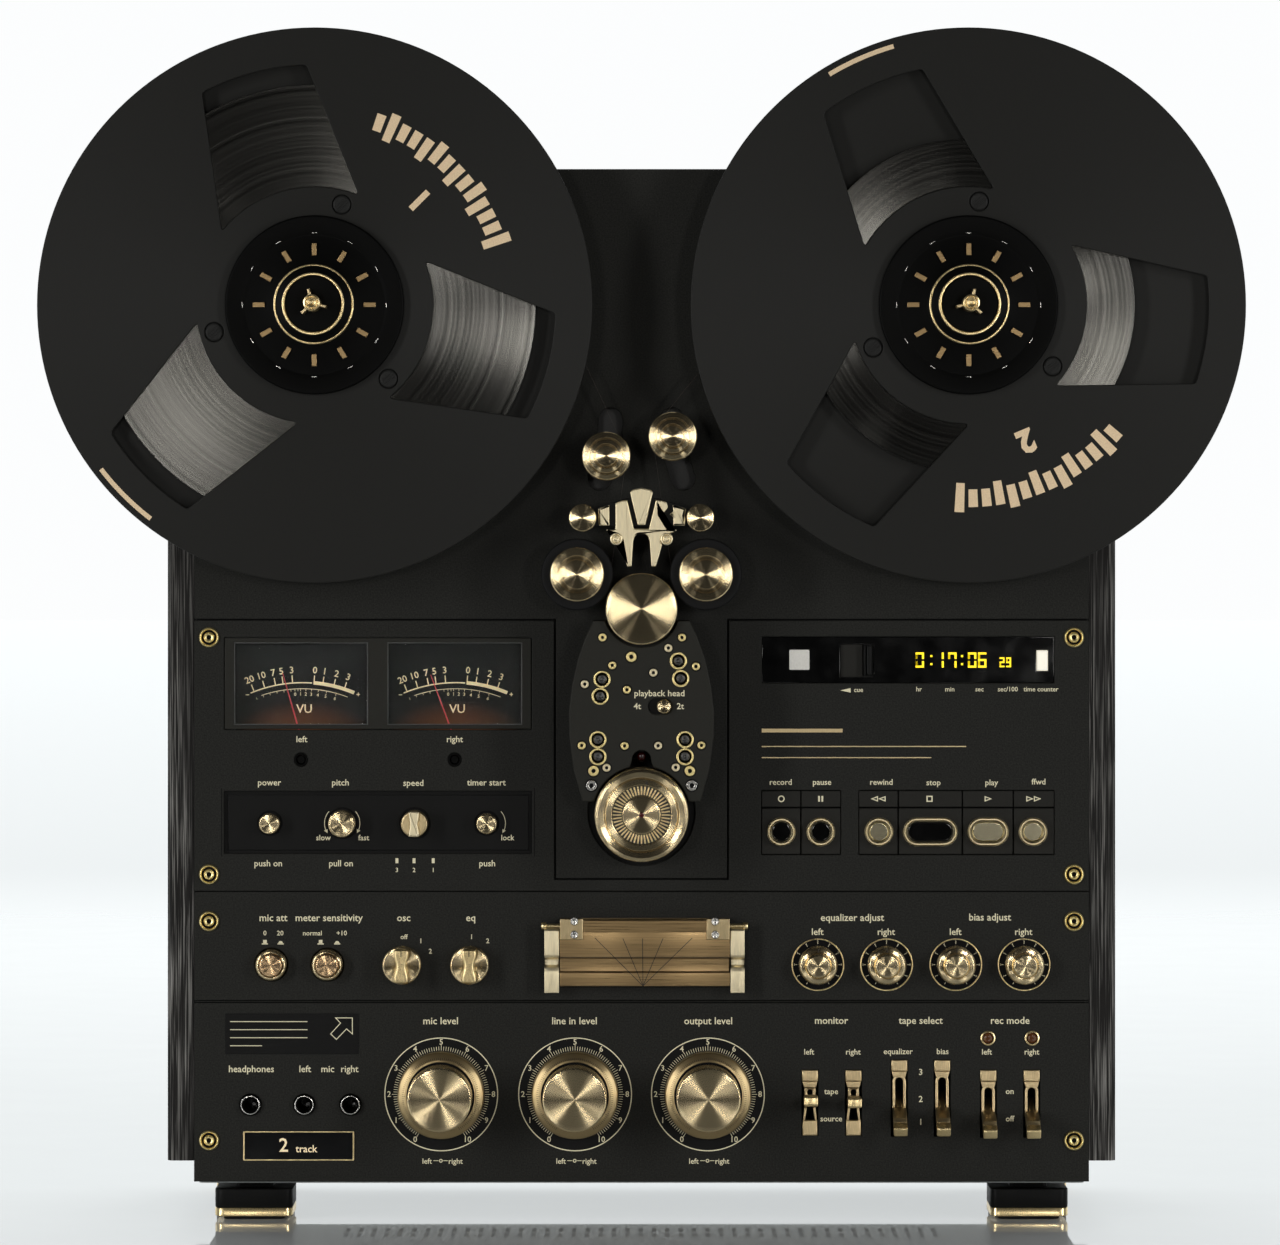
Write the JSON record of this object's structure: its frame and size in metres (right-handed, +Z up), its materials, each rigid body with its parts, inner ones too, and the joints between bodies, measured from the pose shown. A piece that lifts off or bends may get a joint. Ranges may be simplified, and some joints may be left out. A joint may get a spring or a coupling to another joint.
{
  "type": "reel to reel tape deck",
  "caption": "Open-reel stereo tape recorder whose tape loops round one capstan: black panels, brass controls, wood cheeks, metal reels, level meters, lever switches and transport keys",
  "frame": {"origin": "centre of the bounding box in X and Y, on the surface the feet stand on", "axes": "+Z up, the front panels and reels face -Y, +X is the viewer's right"},
  "size_m": [0.5806, 0.26, 0.5781],
  "materials": {
    "black_panel": "fine-textured matt black paint",
    "black_metal": "matt black paint",
    "gold_brass": "turned, satin, champagne gold",
    "dark_wood": "near-black stain, vertical open grain",
    "rubber": "matt",
    "reel_metal": "charcoal anodised, matt",
    "grey_casting": "as cast",
    "needle_red": "red lacquer",
    "black_plastic": "matt black"
  },
  "bodies": {
    "deck": {"case": "black_metal", "drive_chassis": "grey_casting", "transport_panel": "black_panel", "amplifier_panel": "black_panel", "side_panel_left": "dark_wood", "side_panel_right": "dark_wood", "foot_front_left": "rubber", "foot_front_right": "rubber", "foot_rear_left": "rubber", "foot_rear_right": "rubber", "head_block": "black_panel", "guide_bracket": "gold_brass", "splicing_block": "gold_brass", "vu_meters": "black_plastic"},
    "left_reel": {"reel_left": "reel_metal", "hub_adapter_left": "gold_brass"},
    "right_reel": {"reel_right": "reel_metal", "hub_adapter_right": "gold_brass"},
    "tension_arm_left_body": {"tension_arm_left": "gold_brass"},
    "tension_arm_right_body": {"tension_arm_right": "gold_brass"},
    "pinch_roller_left_body": {"pinch_roller_left": "rubber"},
    "pinch_roller_right_body": {"pinch_roller_right": "rubber"},
    "capstan_body": {"capstan": "gold_brass"},
    "return_roller_body": {"return_roller": "gold_brass"},
    "head_selector_body": {"head_selector": "gold_brass"},
    "power_button_body": {"power_button": "gold_brass"},
    "pitch_knob_body": {"pitch_knob": "gold_brass"},
    "speed_knob_body": {"speed_knob": "gold_brass"},
    "timer_button_body": {"timer_button": "gold_brass"},
    "vu_needle_left_body": {"vu_needle_left": "needle_red"},
    "vu_needle_right_body": {"vu_needle_right": "needle_red"},
    "cue_lever_body": {"cue_lever": "black_plastic"},
    "counter_reset_body": {"counter_reset": "black_plastic"},
    "record_key_body": {"record_key": "gold_brass"},
    "pause_key_body": {"pause_key": "gold_brass"},
    "rewind_key_body": {"rewind_key": "gold_brass"},
    "stop_key_body": {"stop_key": "gold_brass"},
    "play_key_body": {"play_key": "gold_brass"},
    "fast_forward_key_body": {"fast_forward_key": "gold_brass"},
    "mic_attenuator_button_body": {"mic_attenuator_button": "gold_brass"},
    "meter_sensitivity_button_body": {"meter_sensitivity_button": "gold_brass"},
    "oscillator_knob_body": {"oscillator_knob": "gold_brass"},
    "playback_eq_knob_body": {"playback_eq_knob": "gold_brass"},
    "monitor_lever_left_body": {"monitor_lever_left": "gold_brass"},
    "monitor_lever_right_body": {"monitor_lever_right": "gold_brass"},
    "eq_select_lever_body": {"eq_select_lever": "gold_brass"},
    "bias_select_lever_body": {"bias_select_lever": "gold_brass"},
    "record_mode_lever_left_body": {"record_mode_lever_left": "gold_brass"},
    "record_mode_lever_right_body": {"record_mode_lever_right": "gold_brass"},
    "tape_clamps_body": {"tape_clamps": "gold_brass"},
    "eq_adjust_left_body": {"eq_adjust_left": "gold_brass"},
    "eq_adjust_right_body": {"eq_adjust_right": "gold_brass"},
    "bias_adjust_left_body": {"bias_adjust_left": "gold_brass"},
    "bias_adjust_right_body": {"bias_adjust_right": "gold_brass"},
    "mic_level_knob_body": {"mic_level_knob": "gold_brass"},
    "line_level_knob_body": {"line_level_knob": "gold_brass"},
    "output_level_knob_body": {"output_level_knob": "gold_brass"},
    "mic_level_ring_body": {"mic_level_ring": "gold_brass"},
    "line_level_ring_body": {"line_level_ring": "gold_brass"},
    "output_level_ring_body": {"output_level_ring": "gold_brass"}
  },
  "joints": [
    {"name": "left_reel_spin", "type": "hinge", "parent": "deck", "child": "left_reel", "pos_m": [-0.1569, -0.07, 0.4448], "axis": [0, -1, 0], "continuous": true},
    {"name": "right_reel_spin", "type": "hinge", "parent": "deck", "child": "right_reel", "pos_m": [0.1569, -0.07, 0.4448], "axis": [0, -1, 0], "continuous": true},
    {"name": "tension_left_swing", "type": "hinge", "parent": "deck", "child": "tension_arm_left_body", "pos_m": [-0.0936, -0.07, 0.3905], "axis": [0, -1, 0], "range_deg": [-7.8, 13.4], "stiffness_Nm_per_rad": 0.5, "springref_deg": 4.58},
    {"name": "tension_right_swing", "type": "hinge", "parent": "deck", "child": "tension_arm_right_body", "pos_m": [0.0936, -0.07, 0.3905], "axis": [0, 1, 0], "range_deg": [-14.9, 6.3], "stiffness_Nm_per_rad": 0.5, "springref_deg": 4.58},
    {"name": "pinch_left_swing", "type": "hinge", "parent": "deck", "child": "pinch_roller_left_body", "pos_m": [-0.0469, -0.07, 0.2855], "axis": [0, -1, 0], "range_deg": [0, 12]},
    {"name": "pinch_right_swing", "type": "hinge", "parent": "deck", "child": "pinch_roller_right_body", "pos_m": [0.0469, -0.07, 0.2855], "axis": [0, 1, 0], "range_deg": [0, 12]},
    {"name": "capstan_spin", "type": "hinge", "parent": "deck", "child": "capstan_body", "pos_m": [0, -0.07, 0.299], "axis": [0, 1, 0], "continuous": true},
    {"name": "return_roller_spin", "type": "hinge", "parent": "deck", "child": "return_roller_body", "pos_m": [0, -0.07, 0.2002], "axis": [0, -1, 0], "continuous": true},
    {"name": "head_selector_slide", "type": "slide", "parent": "deck", "child": "head_selector_body", "axis": [-1, 0, 0], "range_m": [0, 0.0039]},
    {"name": "monitor_lever_left_throw", "type": "hinge", "parent": "deck", "child": "monitor_lever_left_body", "pos_m": [0.0817, -0.062, 0.05915], "axis": [1, 0, 0], "range_deg": [0, 32]},
    {"name": "monitor_lever_right_throw", "type": "hinge", "parent": "deck", "child": "monitor_lever_right_body", "pos_m": [0.1028, -0.062, 0.05915], "axis": [1, 0, 0], "range_deg": [0, 32]},
    {"name": "eq_select_lever_throw", "type": "hinge", "parent": "deck", "child": "eq_select_lever_body", "pos_m": [0.125, -0.062, 0.0614], "axis": [-1, 0, 0], "range_deg": [0, 60]},
    {"name": "bias_select_lever_throw", "type": "hinge", "parent": "deck", "child": "bias_select_lever_body", "pos_m": [0.1458, -0.062, 0.0614], "axis": [-1, 0, 0], "range_deg": [0, 60]},
    {"name": "record_mode_lever_left_throw", "type": "hinge", "parent": "deck", "child": "record_mode_lever_left_body", "pos_m": [0.1682, -0.062, 0.05865], "axis": [-1, 0, 0], "range_deg": [0, 41]},
    {"name": "record_mode_lever_right_throw", "type": "hinge", "parent": "deck", "child": "record_mode_lever_right_body", "pos_m": [0.1892, -0.062, 0.05865], "axis": [-1, 0, 0], "range_deg": [0, 41]},
    {"name": "tape_clamps_lift", "type": "hinge", "parent": "deck", "child": "tape_clamps_body", "pos_m": [0, -0.0752, 0.1452], "axis": [-1, 0, 0], "range_deg": [0, 100]},
    {"name": "power_press", "type": "slide", "parent": "deck", "child": "power_button_body", "axis": [0, 1, 0], "range_m": [0, 0.0025], "stiffness_N_per_m": 300},
    {"name": "pitch_turn", "type": "hinge", "parent": "deck", "child": "pitch_knob_body", "pos_m": [-0.1452, -0.07, 0.1947], "axis": [0, 1, 0], "range_deg": [-135, 135]},
    {"name": "speed_turn", "type": "hinge", "parent": "deck", "child": "speed_knob_body", "pos_m": [-0.11, -0.07, 0.1947], "axis": [0, 1, 0], "range_deg": [-30, 30]},
    {"name": "timer_press", "type": "slide", "parent": "deck", "child": "timer_button_body", "axis": [0, 1, 0], "range_m": [0, 0.0025], "stiffness_N_per_m": 300},
    {"name": "needle_left_swing", "type": "hinge", "parent": "deck", "child": "vu_needle_left_body", "pos_m": [-0.1651, -0.07, 0.2348], "axis": [0, 1, 0], "range_deg": [-29, 61], "stiffness_Nm_per_rad": 0.002},
    {"name": "needle_right_swing", "type": "hinge", "parent": "deck", "child": "vu_needle_right_body", "pos_m": [-0.0906, -0.07, 0.2348], "axis": [0, 1, 0], "range_deg": [-24.5, 65.5], "stiffness_Nm_per_rad": 0.002},
    {"name": "cue_slide", "type": "slide", "parent": "deck", "child": "cue_lever_body", "axis": [-1, 0, 0], "range_m": [0, 0.011]},
    {"name": "counter_reset_press", "type": "slide", "parent": "deck", "child": "counter_reset_body", "axis": [0, 1, 0], "range_m": [0, 0.0015], "stiffness_N_per_m": 300},
    {"name": "record_press", "type": "slide", "parent": "deck", "child": "record_key_body", "axis": [0, 1, 0], "range_m": [0, 0.002], "stiffness_N_per_m": 300},
    {"name": "pause_press", "type": "slide", "parent": "deck", "child": "pause_key_body", "axis": [0, 1, 0], "range_m": [0, 0.002], "stiffness_N_per_m": 300},
    {"name": "rewind_press", "type": "slide", "parent": "deck", "child": "rewind_key_body", "axis": [0, 1, 0], "range_m": [0, 0.002], "stiffness_N_per_m": 300},
    {"name": "stop_press", "type": "slide", "parent": "deck", "child": "stop_key_body", "axis": [0, 1, 0], "range_m": [0, 0.002], "stiffness_N_per_m": 300},
    {"name": "play_press", "type": "slide", "parent": "deck", "child": "play_key_body", "axis": [0, 1, 0], "range_m": [0, 0.002], "stiffness_N_per_m": 300},
    {"name": "fast_forward_press", "type": "slide", "parent": "deck", "child": "fast_forward_key_body", "axis": [0, 1, 0], "range_m": [0, 0.002], "stiffness_N_per_m": 300},
    {"name": "mic_attenuator_press", "type": "slide", "parent": "deck", "child": "mic_attenuator_button_body", "axis": [0, 1, 0], "range_m": [0, 0.003], "stiffness_N_per_m": 300},
    {"name": "meter_sensitivity_press", "type": "slide", "parent": "deck", "child": "meter_sensitivity_button_body", "axis": [0, 1, 0], "range_m": [0, 0.003], "stiffness_N_per_m": 300},
    {"name": "oscillator_turn", "type": "hinge", "parent": "deck", "child": "oscillator_knob_body", "pos_m": [-0.1161, -0.07, 0.1262], "axis": [0, 1, 0], "range_deg": [0, 60]},
    {"name": "playback_eq_turn", "type": "hinge", "parent": "deck", "child": "playback_eq_knob_body", "pos_m": [-0.0833, -0.07, 0.1262], "axis": [0, 1, 0], "range_deg": [0, 35]},
    {"name": "eq_adjust_left_turn", "type": "hinge", "parent": "deck", "child": "eq_adjust_left_body", "pos_m": [0.0855, -0.07, 0.1262], "axis": [0, 1, 0], "range_deg": [-150, 150]},
    {"name": "eq_adjust_right_turn", "type": "hinge", "parent": "deck", "child": "eq_adjust_right_body", "pos_m": [0.1188, -0.07, 0.1262], "axis": [0, 1, 0], "range_deg": [-150, 150]},
    {"name": "bias_adjust_left_turn", "type": "hinge", "parent": "deck", "child": "bias_adjust_left_body", "pos_m": [0.1524, -0.07, 0.1262], "axis": [0, 1, 0], "range_deg": [-150, 150]},
    {"name": "bias_adjust_right_turn", "type": "hinge", "parent": "deck", "child": "bias_adjust_right_body", "pos_m": [0.1855, -0.07, 0.1262], "axis": [0, 1, 0], "range_deg": [-150, 150]},
    {"name": "mic_level_knob_turn", "type": "hinge", "parent": "deck", "child": "mic_level_knob_body", "pos_m": [-0.0971, -0.07, 0.0633], "axis": [0, 1, 0], "range_deg": [-150, 150]},
    {"name": "mic_level_ring_turn", "type": "hinge", "parent": "deck", "child": "mic_level_ring_body", "pos_m": [-0.0971, -0.07, 0.0633], "axis": [0, 1, 0], "range_deg": [-150, 150]},
    {"name": "line_level_knob_turn", "type": "hinge", "parent": "deck", "child": "line_level_knob_body", "pos_m": [-0.0322, -0.07, 0.0633], "axis": [0, 1, 0], "range_deg": [-150, 150]},
    {"name": "line_level_ring_turn", "type": "hinge", "parent": "deck", "child": "line_level_ring_body", "pos_m": [-0.0322, -0.07, 0.0633], "axis": [0, 1, 0], "range_deg": [-150, 150]},
    {"name": "output_level_knob_turn", "type": "hinge", "parent": "deck", "child": "output_level_knob_body", "pos_m": [0.0322, -0.07, 0.0633], "axis": [0, 1, 0], "range_deg": [-150, 150]},
    {"name": "output_level_ring_turn", "type": "hinge", "parent": "deck", "child": "output_level_ring_body", "pos_m": [0.0322, -0.07, 0.0633], "axis": [0, 1, 0], "range_deg": [-150, 150]}
  ]
}
